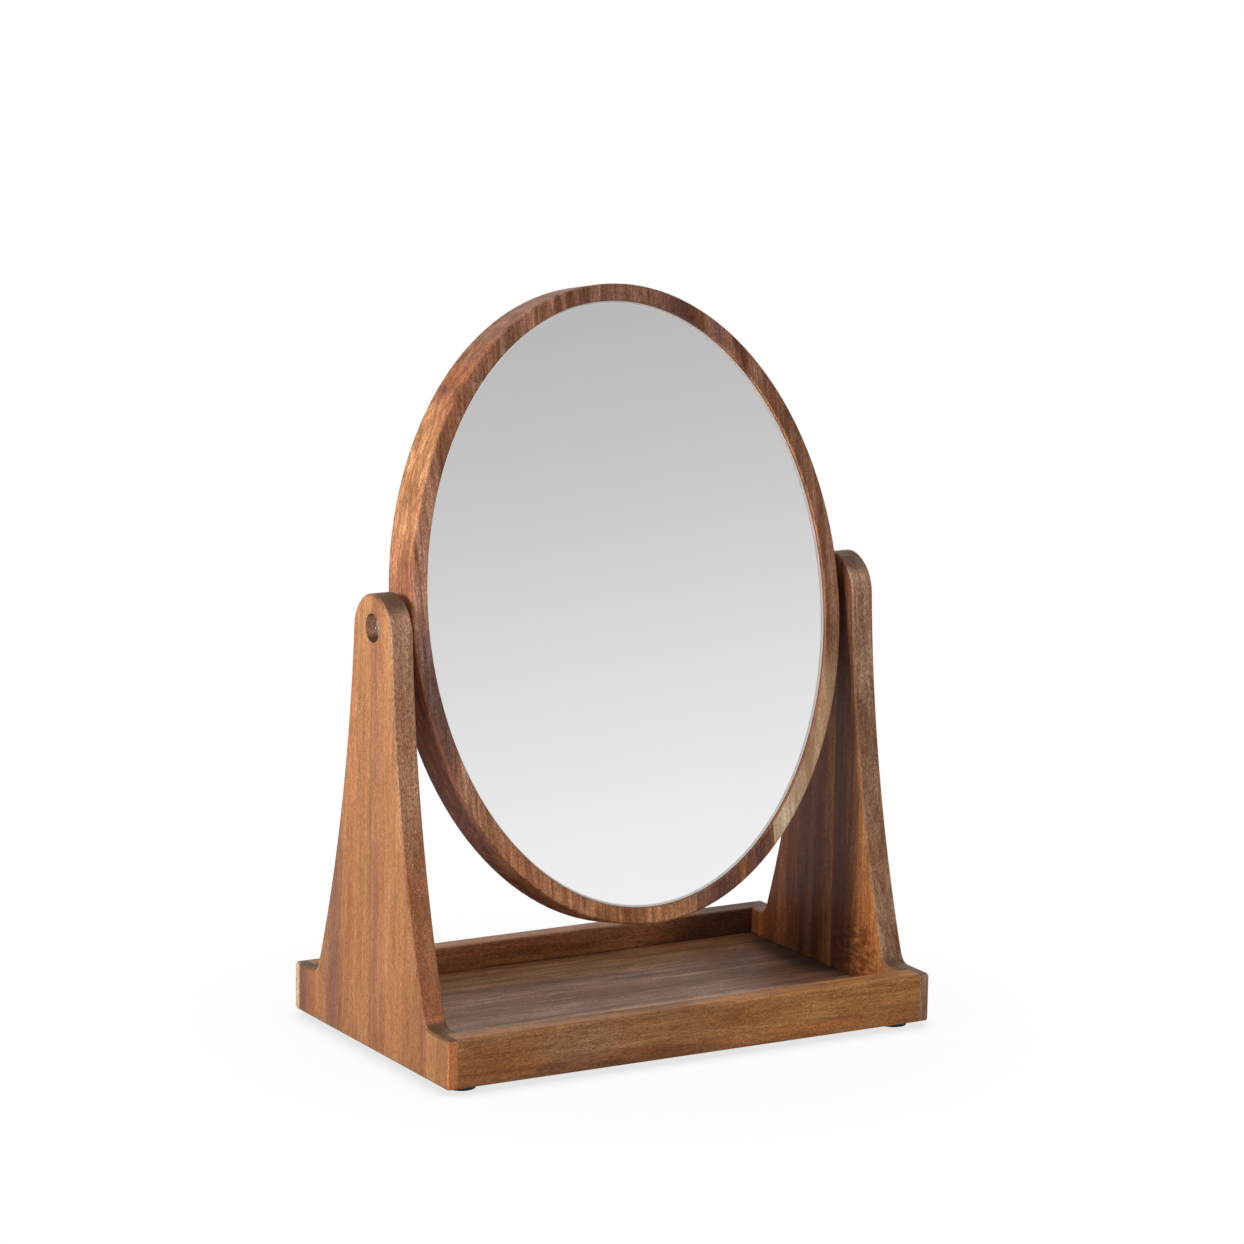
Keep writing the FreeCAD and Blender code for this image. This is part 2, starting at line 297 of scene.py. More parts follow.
# From its lowest to its highest, the noise is cut into this many growth lines. Each starts a
# little light and ends dark, the more suddenly the higher late_wood is.
growth_lines, late_wood = 15.0, 2.2
early_light, late_dark = 0.04, 0.10
bands = (150, 9, 2.0, 0.60, 0.18, 0.12)
clouds = (110, 42, 3.0, 0.60, 0.20, 0.08)
streaks = (700, 48, 3.0, 0.65, 0.20, 0.11)
fibre = (1900, 520, 2.0, 0.65, 0.25, 0.25)
stipple = (3600, 1700, 1.0, 0.55, 0.25, 0.32)


def layered(tree, where, strength, contrast, layer):
    """Multiply one layer of the figure into the strength. The layer's noise is returned too."""
    across, along, detail, roughness, spread, change = layer
    grain = noise(tree, scaled(tree, where, across, across, along), detail, roughness)
    lighter = remap(tree, grain, 0.5 - spread, 0.5 + spread,
                    1 - change * contrast, 1 + change * contrast)
    return calc(tree, "MULTIPLY", strength, lighter), grain


def figure(tree, wood, curved, contrast):
    """All layers as one strength, near 1, and the fibres by themselves for the gloss."""
    field = noise(tree, scaled(tree, curved, *growth_blobs), 1.0)
    growth = calc(tree, "FRACT", calc(tree, "MULTIPLY", field, growth_lines))
    late = calc(tree, "POWER", growth, late_wood)
    strength = straight(tree, late, 0.0, 1.0, 1 + early_light * contrast,
                        1 - late_dark * contrast)
    for layer in (bands, clouds, streaks):
        strength, _ = layered(tree, curved, strength, contrast, layer)
    strength, fibres = layered(tree, wood, strength, 1.0, fibre)
    strength, _ = layered(tree, wood, strength, 1.0, stipple)
    return strength, fibres


print("a fibre is about", round(1000 / fibre[0], 2), "by", round(1000 / fibre[1], 1), "mm")

# %% Curl and blush
curl_blobs, blush_blobs = (130, 130, 420), (130, 130, 4)
blush_pink, most_blush = (255, 214, 202), 0.35


def curly(tree, curved, place, across, along, wide, long, change):
    """Dark ripples across the grain within an oval, as where a branch once pushed the grain."""
    ripple = noise(tree, scaled(tree, curved, *curl_blobs), 2.0)
    waves = remap(tree, ripple, 0.40, 0.60, 1 - change, 1 + 0.25 * change)
    within = oval_patch(tree, place, across, along, wide, long)
    return straight(tree, within, 0.0, 1.0, 1.0, waves)


def blushed(tree, curved, shade):
    """Here and there a streak of the wood is redder, without being darker or lighter."""
    cloud = noise(tree, scaled(tree, curved, *blush_blobs), 2.0)
    redder = tint(tree, 1.0, shade, colour(*blush_pink), "MULTIPLY")
    return tint(tree, remap(tree, cloud, 0.50, 0.68, 0.0, most_blush), shade, redder)


print("a ripple is about", round(1000 / curl_blobs[2], 1), "mm long")

# %% Pores, flecks and glue lines
pore_size, pore_share, pore_thick, pore_core, pore_depth = (0.42, 2.6), 0.55, 0.36, 0.55, 0.42
fleck_size, fleck_range = (0.8, 1.7), (0.50, 0.62)
pore_brown, fleck_brown, glue_brown = (70, 42, 28), (84, 56, 40), (52, 30, 20)


def dashes(tree, wood, wide, long, share, thick):
    """Short dark marks along the grain, wide and long in millimetres; share is how many of the
    cells hold one, and thick is how much of its cell a mark fills."""
    cells = put(tree, "TexVoronoi", scaled(tree, wood, 1000 / wide, 1000 / wide, 1000 / long))
    cells.inputs["Scale"].default_value = 1.0
    chosen = calc(tree, "LESS_THAN", put(tree, "SeparateColor", cells.outputs[1]).outputs[0],
                  share)
    mark = remap(tree, cells.outputs[0], pore_core * thick, thick, 1.0, 0.0)
    return calc(tree, "MULTIPLY", mark, chosen)


def specks(tree, wood, wide, long, low, high):
    """Ragged dark specks, wide and long in millimetres. They fill more as low and high fall."""
    grain = noise(tree, scaled(tree, wood, 1000 / wide, 1000 / wide, 1000 / long), 2.0, 0.7)
    return remap(tree, grain, low, high)


def marked(tree, curved, shade, edge_on, speckling, glue):
    """Lay pores, the flecks of a cut edge and glue lines on a shade. The pores and all that
    lies below the surface are returned too."""
    edges = remap(tree, edge_on, 0.55, 0.9)
    flecks = calc(tree, "MULTIPLY", specks(tree, curved, *fleck_size, *fleck_range),
                  calc(tree, "MULTIPLY", edges, speckling))
    pores = dashes(tree, curved, *pore_size, pore_share, pore_thick)
    shade = tint(tree, calc(tree, "MULTIPLY", pores, pore_depth), shade, colour(*pore_brown))
    shade = tint(tree, flecks, shade, colour(*fleck_brown))
    seen = remap(tree, edge_on, 0.3, 0.8, 0.55, 0.1)
    shade = tint(tree, calc(tree, "MULTIPLY", glue, seen), shade, colour(*glue_brown))
    hollow = calc(tree, "ADD", calc(tree, "MULTIPLY", pores, 0.7),
                  calc(tree, "ADD", flecks, glue))
    return shade, pores, hollow


print("pores are", pore_size[0], "by", pore_size[1], "mm, flecks", fleck_size[0], "by",
      fleck_size[1], "mm")

# %% Worn corners with a painted highlight, gloss and relief
wear_blobs, wear_and_highlight_tone = (300, 300, 300), (150, 118, 88)
smoothest, roughest, pore_dullness = 0.47, 0.60, 0.2
relief_depth = 0.05


def wear_and_highlight_corners(tree, wood, shade, corner, wear_and_highlight):
    """Rub corners paler, in patches, where a rounded normal leaves the flat one, partly as wear
    and partly as a painted highlight along the edges. The rounded normal is returned too, because
    the light follows it."""
    rounded = put(tree, "Bevel", corner * MM, samples=6).outputs[0]
    flat = put(tree, "NewGeometry").outputs["True Normal"]
    match = put(tree, "VectorMath", rounded, flat, operation="DOT_PRODUCT").outputs["Value"]
    patchy = remap(tree, noise(tree, scaled(tree, wood, *wear_blobs), 2.0), 0.38, 0.60)
    # The paler edge is partly wear and partly a painted highlight, where light would catch the
    # rounded corner.
    wear_and_highlight_mask = calc(tree, "MULTIPLY", remap(tree, match, 0.99, 0.86),
                calc(tree, "MULTIPLY", patchy, wear_and_highlight))
    paler = tint(tree, 1.0, shade, colour(*wear_and_highlight_tone), "SCREEN")
    return tint(tree, wear_and_highlight_mask, shade, paler), rounded


def oiled_surface(tree, shader, shine, fibres, pores, hollow, rounded):
    """Oil leaves a satin surface, duller in the pores. Fibres stand up a little, and pores,
    flecks and glue lines lie below them."""
    shader.inputs["Specular IOR Level"].default_value = shine
    satin = straight(tree, fibres, 0.25, 0.75, smoothest, roughest)
    fill(tree, shader.inputs["Roughness"], calc(tree, "MULTIPLY_ADD", pores, pore_dullness, satin))
    relief = put(tree, "Bump")
    relief.inputs["Strength"].default_value = 0.5
    relief.inputs["Distance"].default_value = relief_depth * MM
    fill(tree, relief.inputs["Height"],
         calc(tree, "SUBTRACT", calc(tree, "MULTIPLY", fibres, 0.5), hollow))
    fill(tree, relief.inputs["Normal"], rounded)
    fill(tree, shader.inputs["Normal"], relief.outputs[0])


print("the relief is about", relief_depth, "mm deep")

# %% The whole recipe
# Each stave takes its figure from this many metres further through and along the tree.
stave_shift = (0.31, 1.7)
# Above a darkened foot, the flecks come in between these two heights in millimetres.
clear_of_foot = (30, 100)
# The figure is bent more than the tones.
strong_bend, weak_bend = 6 * MM, 3 * MM


def oiled_acacia(name, grain, tones, joints=(), leans=False, seed=0.0, contrast=1.0, curl=None,
                 ends_tone=(112, 86, 68), speckled=0.5, wear_and_highlight=0.25, shine=0.2, foot=None,
                 patches=(), sapwood=None, first_edge=None, corner=0.55):
    """The finish of one board. contrast scales its figure, speckled the marks on its edges,
    wear_and_highlight the wear and painted highlight on its corners, and shine its gloss. curl is
    a place with ripples, foot is (lower mm, upper mm, strength at the lower), and first_edge is
    the tones along the edge at the low end of tones, where the board is cut across its growth.
    sapwood is where its pale strip starts across the board, and the strip's tones along it.
    corner is how far the light rolls over its corners, in millimetres."""
    material, tree, shader = new_finish(name)
    wood, edge, end = wood_directions(tree, grain, leans)
    edge_on, end_on = calc(tree, "ABSOLUTE", edge), calc(tree, "ABSOLUTE", end)
    parts = put(tree, "SeparateXYZ", wood).outputs
    along = parts[2]
    stave, glue = staves(tree, parts[0], joints)
    own = put(tree, "CombineXYZ", seed, calc(tree, "MULTIPLY", stave, stave_shift[0]),
              calc(tree, "MULTIPLY", stave, stave_shift[1])).outputs[0]
    shifted = put(tree, "VectorMath", wood, own).outputs[0]
    curved, swayed = bent(tree, shifted, strong_bend), bent(tree, wood, weak_bend)
    across = put(tree, "SeparateXYZ", swayed).outputs[0]

    strength, fibres = figure(tree, shifted, curved, contrast)
    if curl:
        strength = calc(tree, "MULTIPLY", strength, curly(tree, curved, wood, *curl))
    shade = patched(tree, swayed, gradient(tree, across, tones), patches)
    if sapwood:
        shade, strength = pale_strip(tree, across, along, shade, strength, *sapwood)
    speckling = speckled
    if foot:
        darker = straight(tree, along, foot[0] * MM, foot[1] * MM, foot[2], 1.0)
        shade = deepened(tree, shade, darker)
        speckling = remap(tree, along, clear_of_foot[0] * MM, clear_of_foot[1] * MM, 0.0,
                          speckled)
    if first_edge:
        facing = remap(tree, edge, -0.35, -0.8)
        shade = tint(tree, facing, shade, gradient(tree, along, first_edge))
    shade = blushed(tree, curved, deepened(tree, shade, strength))
    ends = deepened(tree, colour(*ends_tone), strength)
    shade = tint(tree, remap(tree, end_on, 0.45, 0.85, 0.0, 0.85), shade, ends)
    shade, pores, hollow = marked(tree, curved, shade, edge_on, speckling, glue)
    shade, rounded = wear_and_highlight_corners(tree, wood, shade, corner, wear_and_highlight)
    fill(tree, shader.inputs["Base Color"], shade)
    oiled_surface(tree, shader, shine, fibres, pores, hollow, rounded)
    return material


print("bends:", strong_bend, "m for the figure,", weak_bend, "m for the tones")

# %% [markdown]
# ## The side panels
# Each side panel is one board, glued up from upright staves and cut to the flared outline. One
# brown under the figure would do from afar, but no two boards are alike, so each gets a list of
# its own tones from the front edge to the back edge, in millimetres from the middle. The left
# board is honey brown with red streaks and a purplish stripe towards the back, and its back edge
# is cream, partly pale sapwood and partly a painted highlight of light from behind. The right one
# has dark and russet staves behind an amber one, with a patch of curl at its foot. Its amber
# front and dark middle are partly painted light and painted shade, where the left lamp reaches
# past the mirror and where the mirror's shadow falls. Both darken towards the foot. The front
# edges are cut across the growth, so their tones change with the height instead.

# %% Tones of the left panel
honey, pale_honey, red_streak = (190, 131, 84), (200, 139, 88), (174, 116, 78)
purplish, heartwood, cream_and_rim_highlight = (157, 108, 82), (138, 95, 72), (243, 211, 167)
# The cream at the back edge is partly pale sapwood and partly a painted highlight of light from
# behind.
left_tones = [(-74.5, honey), (-64, honey), (-56, pale_honey), (-51, red_streak), (-46, honey),
              (-36, honey), (-28, pale_honey), (-12, honey), (-4, red_streak), (2, honey),
              (26, honey), (33, purplish), (39, purplish), (45, honey), (58, honey),
              (65.5, heartwood), (69, heartwood), (71, cream_and_rim_highlight), (74.5, cream_and_rim_highlight)]
left_front_edge = [(0, (228, 141, 87)), (22, (218, 138, 88)), (32, (180, 114, 76)),
                   (90, (186, 122, 84)), (120, (202, 148, 112)), (210, (204, 153, 121))]
print("left panel:", len(left_tones), "tones from front to back")

# %% Tones of the right panel
tan, amber_and_painted_light, copper = (177, 130, 90), (200, 134, 77), (180, 112, 62)
russet, cocoa, chocolate_and_painted_shade, bark = (151, 97, 59), (122, 78, 52), (106, 63, 41), (138, 82, 46)
# The amber front and the dark middle are partly the wood and partly painted light and painted
# shade: the left lamp reaching past the mirror, and the mirror's shadow behind that.
right_tones = [(-74.5, tan), (-62, tan), (-46, amber_and_painted_light), (-36, amber_and_painted_light), (-29, copper),
               (-22, (136, 86, 54)), (-13, chocolate_and_painted_shade), (-7.4, chocolate_and_painted_shade), (-6.6, russet),
               (0, russet), (5, chocolate_and_painted_shade), (12, cocoa), (18, chocolate_and_painted_shade), (24, cocoa),
               (34, bark), (74.5, bark)]
right_front_edge = [(0, (150, 116, 90)), (22, (168, 129, 98)), (100, (166, 123, 91)),
                    (210, (191, 147, 117))]
print("right panel:", len(right_tones), "tones from front to back")

# %% Side panel finishes
panel_finishes = {
    "left_side_panel": oiled_acacia("left_panel_acacia", "up, flat on X", left_tones,
                                    joints=(-51, 0, 43), seed=3.0, foot=(10, 190, 0.79),
                                    contrast=0.85, wear_and_highlight=0.5, ends_tone=(86, 67, 46),
                                    first_edge=left_front_edge),
    "right_side_panel": oiled_acacia("right_panel_acacia", "up, flat on X", right_tones,
                                     joints=(-7, 26), seed=11.0, contrast=1.8, wear_and_highlight=0.5,
                                     curl=(-30, 24, 26, 20, 0.4), foot=(10, 120, 0.78),
                                     first_edge=right_front_edge,
                                     # The amber patch at the front of the foot is partly painted
                                     # light.
                                     patches=[(-38, 34, 13, 34, (204, 130, 70), 0.7)])}
print("panel finishes:", sorted(panel_finishes))

# %% [markdown]
# ## The tray
# Two rails and a thin floor make the tray, with the grain running from side to side. They could
# share one finish, but the maker took what offcuts came to hand: the front rail is golden with a
# greyish stretch and two small knots. The back rail has a painted shadow at its right end. The
# floor is three staves that are duller than the rest, greyish partly as a painted sheen, browner
# at the back partly as a painted reflection of the back rail, and nearly black at the right with
# painted shadow. Rails take their tones from the bottom up and the floor from front to back.

# %% Tray finishes
front_tones = [(2.5, (152, 99, 60)), (7, (162, 108, 67)), (11, (172, 117, 73)),
               (16, (180, 122, 74)), (20, (180, 123, 76)), (25, (166, 116, 76))]
back_tones = [(2.5, (146, 98, 62)), (14, (158, 108, 68)), (25, (166, 118, 84))]
# The floor's grey is partly a painted sheen, and its browner back partly a painted reflection of
# the back rail.
ashen_and_painted_sheen, pale_streak, dusky = (175, 142, 116), (197, 170, 143), (144, 111, 88)
# The floor's dark right end and back right corner are painted shadow.
painted_shadow_end, painted_shadow_corner, pin_knot = (105, 64, 40), (44, 26, 18), (38, 24, 18)
floor_tones = [(-63.5, (164, 124, 90)), (-33, ashen_and_painted_sheen), (-27, pale_streak), (-22, (162, 129, 105)),
               (-12, ashen_and_painted_sheen), (-3, dusky), (10, (162, 128, 102)), (22, dusky),
               (36, (138, 102, 70)), (63.5, (122, 86, 54))]
golden, greyish, knotty = (192, 128, 66), (166, 124, 92), (100, 64, 42)
tray_finishes = {
    "front_rail": oiled_acacia("front_rail_acacia", "sideways, flat on Y", front_tones,
                               seed=21.0, speckled=0.3, contrast=1.3,
                               patches=[(18, 74, 22, 90, golden, 0.6),
                                        (12, -100, 12, 26, (180, 114, 60), 0.6),
                                        (15, -57, 13, 26, greyish, 0.6),
                                        (6, -72, 3, 10, knotty, 0.5),
                                        (4, -42, 3, 14, knotty, 0.4)]),
    "back_rail": oiled_acacia("back_rail_acacia", "sideways, flat on Y", back_tones, seed=33.0,
                              speckled=0.3, contrast=1.4,
                              # A painted shadow at the right end of the rail.
                              patches=[(10, 112, 40, 64, (74, 42, 32), 0.85)]),
    "tray_floor": oiled_acacia("tray_floor_acacia", "sideways, flat on Z", floor_tones,
                               joints=(-42, 14), seed=45.0, shine=0.12, contrast=1.7,
                               patches=[(10, 100, 75, 55, painted_shadow_end, 0.7),
                                        (22, 118, 60, 26, painted_shadow_corner, 0.85),
                                        (0.5, -17.8, 0.7, 1.4, pin_knot, 1.0)])}
print("tray finishes:", sorted(tray_finishes))

# %% [markdown]
# ## The oval board
# A round frame can be bent from strips or jointed from pieces, and then the grain follows it. On
# this one the grain runs straight up all the way round, so it is one board with a pocket cut for
# the glass, and one block of wood that leans back with it is the true finish. Tones run from left
# to right. The broad left rim is cut across the growth, so its rose, honey and rust tones change
# with the height, with a dark line or two near the top. A strip of pale sapwood marks the lower
# right and shows on the back too, as it does where a board comes from the outside of a tree.

# %% Tones of the oval board
umber, rosewood, plum, chestnut = (146, 99, 76), (187, 132, 102), (126, 85, 74), (176, 122, 90)
oval_tones = [(-110.5, rosewood), (-98, rosewood), (-84, chestnut), (-62, (166, 114, 86)),
              (-54, umber), (-36, chestnut), (-22, umber), (22, umber), (36, plum),
              (41, plum), (48, (178, 121, 86)), (56, plum), (63, umber), (104, (153, 106, 79)),
              (110.5, (160, 110, 82))]
rose, ember, warm_honey = (174, 111, 82), (204, 116, 62), (204, 144, 93)
rust, dark_rust = (150, 86, 55), (126, 70, 44)
left_rim = [(50, rust), (90, rose), (140, rose), (190, (188, 129, 90)), (213, (188, 120, 84)),
            (262, warm_honey), (280, warm_honey), (290, (186, 120, 74)), (294, (176, 104, 64)),
            (297, dark_rust), (300, ember), (307, ember), (310, rust), (313, ember), (317, ember),
            (320, dark_rust), (324, ember), (329, rust), (339, (142, 98, 72))]
pale_sapwood, oat, tan_sapwood = (230, 200, 163), (219, 183, 146), (203, 164, 124)
right_sapwood = [(78, pale_sapwood), (90, pale_sapwood), (106, oat), (124, tan_sapwood),
                 (146, tan_sapwood), (180, (170, 122, 90))]
print("oval board:", len(oval_tones), "tones across and", len(left_rim), "up the rim")

# %% Oval board finish
oval_finish = oiled_acacia("oval_board_acacia", "up, flat on Y", oval_tones,
                           joints=(-52, 12), leans=True, seed=57.0, speckled=0.15,
                           contrast=2.3, ends_tone=(138, 91, 62), corner=1.5,
                           first_edge=left_rim,
                           patches=[(-55, 80, 46, 36, (198, 134, 92), 0.75),
                                    (-12, 52, 44, 20, (192, 130, 81), 0.75),
                                    (-104, 156, 14, 50, (128, 96, 90), 0.8)],
                           sapwood=(65.5, right_sapwood))
print("oval board finish:", oval_finish.name)

# %% [markdown]
# ## The dowels
# Four beech dowels lock the rails to the panels. They are hidden and could stay plain, but they
# show when the mirror is taken apart, and a finish is one line of work. Beech is pale and even, so
# the same recipe serves, with three pale tones and little contrast.

# %% Dowel finish
dowel_finish = oiled_acacia("dowel_beech", "sideways, flat on Z",
                            [(-75, (214, 180, 140)), (0, (220, 188, 148)), (75, (212, 176, 136))],
                            seed=70.0, contrast=0.4, ends_tone=(190, 156, 118))
print("dowel finish:", dowel_finish.name)

# %% [markdown]
# ## The glass
# The mirror is float glass with silver behind it. A clear sheet over a metal sheet would be the
# literal way, but then each reflection is traced through two surfaces for a shift of two
# millimetres. A polished metal face does the same work. The sheet's sharp edge is seamed, which
# is a narrow border rubbed dull with a stone, and it shows as a light line round the picture.
# The ground edge itself shows the green of the glass, and a trace of handling dulls the polish.
# The shader has to know how far each point is from the outline, and an oval's equation, divided
# by its own slope, gives that closely near the edge.

# %% The oval outline of the glass
board_width, board_height, board_thickness = 221.0, 289.0, 23.5
band_width, recess_depth, clearance = 7.5, 2.4, 0.4
pocket_half_width, pocket_half_height = board_width / 2 - band_width, board_height / 2 - band_width
glass_half_width, glass_half_height = pocket_half_width - clearance, pocket_half_height - clearance


def squared_share(tree, length, half):
    """The square of a length as a share of half the oval's size."""
    return calc(tree, "POWER", calc(tree, "ABSOLUTE", calc(tree, "DIVIDE", length, half)), 2.0)


def from_outline(tree, place):
    """Distance in millimetres from the oval outline of the glass to a point on its face."""
    board = put(tree, "SeparateXYZ", upright(tree, place, tuple(turning_axis))).outputs
    x = calc(tree, "MULTIPLY", board[0], 1 / MM)
    z = calc(tree, "MULTIPLY", calc(tree, "SUBTRACT", board[2], turning_axis.z), 1 / MM)
    x_part = squared_share(tree, x, glass_half_width)
    z_part = squared_share(tree, z, glass_half_height)
    inward = calc(tree, "SUBTRACT", 1.0, calc(tree, "ADD", x_part, z_part))
    slope = calc(tree, "SQRT", calc(tree, "ADD",
                                    calc(tree, "DIVIDE", x_part, glass_half_width ** 2),
                                    calc(tree, "DIVIDE", z_part, glass_half_height ** 2)))
    return calc(tree, "DIVIDE", inward, calc(tree, "MULTIPLY", slope, 2.0))


print("glass:", round(2 * glass_half_width, 1), "by", round(2 * glass_half_height, 1), "mm")

# %% Silvered glass
seam_width, seam_dullness, edge_dullness = 1.1, 0.4, 0.22
smear_blobs = (30, 30, 14)
clean_silver, handled_silver, seam_silver = (248, 248, 248), (245, 245, 245), (255, 255, 255)
green_edge = (226, 232, 224)


def silvered_glass():
    """A mirror face with a seamed border, and a greenish ground edge round the sheet."""
    material, tree, shader = new_finish("silvered_glass")
    place = put(tree, "TexCoord")
    front = put(tree, "SeparateXYZ", upright(tree, place.outputs["Normal"], (0, 0, 0))).outputs[1]
    face = remap(tree, calc(tree, "ABSOLUTE", front), 0.93, 0.98)
    smears = noise(tree, scaled(tree, place.outputs["Object"], *smear_blobs), 3.0)
    silver = tint(tree, smears, colour(*clean_silver), colour(*handled_silver))
    seam = remap(tree, from_outline(tree, place.outputs["Object"]), 0.8 * seam_width, seam_width,
                 1.0, 0.0)
    fill(tree, shader.inputs["Base Color"],
         tint(tree, face, colour(*green_edge), tint(tree, seam, silver, colour(*seam_silver))))
    shader.inputs["Metallic"].default_value = 1.0
    polish = calc(tree, "MULTIPLY_ADD", remap(tree, smears, 0.45, 0.8), 0.015, 0.008)
    ground = calc(tree, "MULTIPLY_ADD", calc(tree, "SUBTRACT", 1.0, face), edge_dullness, polish)
    fill(tree, shader.inputs["Roughness"], calc(tree, "MULTIPLY_ADD", seam, seam_dullness, ground))
    return material


glass_finish = silvered_glass()
print("glass finish:", glass_finish.name)

# %% [markdown]
# ## Metal, nylon, rubber and glue
# The small parts are zinc-plated steel, brass, black nylon, black rubber and cured glue. A plain
# colour would do at this size, but a screw head catches the eye in its hole. Each is a colour
# that wanders a little, with turning marks on what came off a lathe and a fine skin on what came
# out of a mould. One recipe serves them all, because only the numbers differ.

# %% One recipe for small parts
mottle_blobs = (220, 220, 220)
lathe_blobs = (9000, 260, 260)
# The light rolls over an edge within this many millimetres.
softened_edge = 0.25
skin_dullness = 0.18


def small_part_finish(name, light, dark, metallic, roughness, bump, grain=900.0, turned=False):
    """A mottled finish. bump is the depth of its skin in millimetres and grain its blobs per
    metre; turned adds the rings that a lathe leaves round the X axis."""
    material, tree, shader = new_finish(name)
    place = put(tree, "TexCoord").outputs["Object"]
    mottle = noise(tree, scaled(tree, place, *mottle_blobs), 3.0)
    skin = noise(tree, scaled(tree, place, grain, grain, grain), 2.0)
    if turned:
        rings = noise(tree, scaled(tree, place, *lathe_blobs), 1.0)
        skin = calc(tree, "MULTIPLY_ADD", rings, 0.6, calc(tree, "MULTIPLY", skin, 0.4))
    fill(tree, shader.inputs["Base Color"], tint(tree, remap(tree, mottle, 0.3, 0.7),
                                                 colour(*dark), colour(*light)))
    shader.inputs["Metallic"].default_value = metallic
    fill(tree, shader.inputs["Roughness"],
         calc(tree, "MULTIPLY_ADD", skin, skin_dullness, roughness - skin_dullness / 2))
    relief = put(tree, "Bump")
    relief.inputs["Strength"].default_value = 0.6
    relief.inputs["Distance"].default_value = bump * MM
    fill(tree, relief.inputs["Height"], skin)
    fill(tree, relief.inputs["Normal"],
         put(tree, "Bevel", softened_edge * MM, samples=6).outputs[0])
    fill(tree, shader.inputs["Normal"], relief.outputs[0])
    return material


print("a lathe ring is about", round(1000 / lathe_blobs[0], 2), "mm wide")

# %% Small part finishes
zinc_finish = small_part_finish("zinc_plated_steel", (232, 228, 221), (192, 187, 180), 1.0,
                                0.26, 0.01, turned=True)
washer_finish = small_part_finish("washer_steel", (196, 195, 192), (150, 149, 148), 1.0,
                                  0.38, 0.01)
brass_finish = small_part_finish("turned_brass", (222, 190, 122), (186, 150, 88), 1.0, 0.32,
                                 0.01, turned=True)
nylon_finish = small_part_finish("black_nylon", (44, 40, 40), (26, 23, 24), 0.0, 0.50, 0.02)
rubber_finish = small_part_finish("black_rubber", (36, 34, 34), (20, 19, 19), 0.0, 0.72, 0.04)
glue_finish = small_part_finish("cured_glue", (226, 222, 208), (206, 200, 184), 0.0, 0.55, 0.08,
                                grain=400.0)
print("small parts:", ", ".join(made.name for made in (zinc_finish, washer_finish, brass_finish,
                                                       nylon_finish, rubber_finish, glue_finish)))

# %% [markdown]
# ## The bead round the glass
# A gap of less than half a millimetre is left between the glass and its pocket, so that the wood
# can move. The maker closes it with a fine bead of clear sealant, which draws a pale line round
# the picture. A curve with a round bevel would be quicker, but the real bead is hollow where a
# fingertip smoothed it and runs out thin on the glass. So its profile is swept round the oval: the
# profile's points are placed at every step of the way and joined with faces.

# %% Bead of sealant
glass_face = recess_depth - board_thickness / 2
bead_steps = 288
bead_profile = [(0.01, 0.60), (0.12, 0.36), (0.30, 0.20), (0.55, 0.10), (0.80, 0.05),
                (1.00, 0.01), (0.80, 0.005), (0.41, -0.39), (0.01, -0.39)]


def sealant_bead(finish):
    """Sweep the profile, given in millimetres as (in from the pocket's wall, out from the glass),
    round the oval, and lean the ring back with the board."""
    lean_back = (Matrix.Translation(turning_axis) @ Matrix.Rotation(-mirror_lean, 4, "X")
                 @ Matrix.Scale(MM, 4))
    bead = bmesh.new()
    rings = []
    for step in range(bead_steps):
        turn = 2 * math.pi * step / bead_steps
        rings.append([bead.verts.new(lean_back @ Vector((
            (pocket_half_width - inward) * math.sin(turn), glass_face - out,
            (pocket_half_height - inward) * math.cos(turn)))) for inward, out in bead_profile])
    for here, after in zip(rings, rings[1:] + rings[:1]):
        for i in range(len(bead_profile)):
            j = (i + 1) % len(bead_profile)
            bead.faces.new((here[i], here[j], after[j], after[i]))
    bmesh.ops.recalc_face_normals(bead, faces=bead.faces)
    mesh = bpy.data.meshes.new("glass_bead")
    bead.to_mesh(mesh)
    bead.free()
    mesh.shade_smooth()
    mesh.materials.append(finish)
    piece = bpy.data.objects.new("glass_bead", mesh)
    bpy.context.scene.collection.objects.link(piece)
    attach(piece, "mirror")
    return piece


print("the profile has", len(bead_profile), "points and is placed", bead_steps, "times")

# %% Clear sealant
sealant_blobs = (260, 260, 260)
sealant_light, sealant_dark, wood_and_painted_shade = (246, 244, 240), (234, 231, 226), (112, 76, 54)
shaded_root_width = 0.25


def clear_sealant():
    """Clear sealant is pale over the glass. At its root it turns wood brown, partly the wood seen
    through it and partly painted shade under the pocket's edge.
    """
    material, tree, shader = new_finish("clear_sealant")
    place = put(tree, "TexCoord").outputs["Object"]
    mottle = noise(tree, scaled(tree, place, *sealant_blobs), 3.0)
    pale = tint(tree, mottle, colour(*sealant_light), colour(*sealant_dark))
    # The wood-brown root is partly the wood through the clear sealant and partly a painted shadow
    # of the pocket's edge.
    root = remap(tree, from_outline(tree, place), -shaded_root_width, 0.0, 1.0, 0.0)
    fill(tree, shader.inputs["Base Color"], tint(tree, root, pale, colour(*wood_and_painted_shade)))
    fill(tree, shader.inputs["Roughness"], remap(tree, mottle, 0.3, 0.7, 0.24, 0.36))
    return material


glass_bead = sealant_bead(clear_sealant())
print("bead:", len(glass_bead.data.polygons), "faces")

# %% [markdown]
# ## Dress the solids
# The finishes could be handed out piece by piece in the cells above. One table is easier to check,
# and as every solid looks itself up in it by name, a missing one stops the script here rather than
# show up grey in a picture.

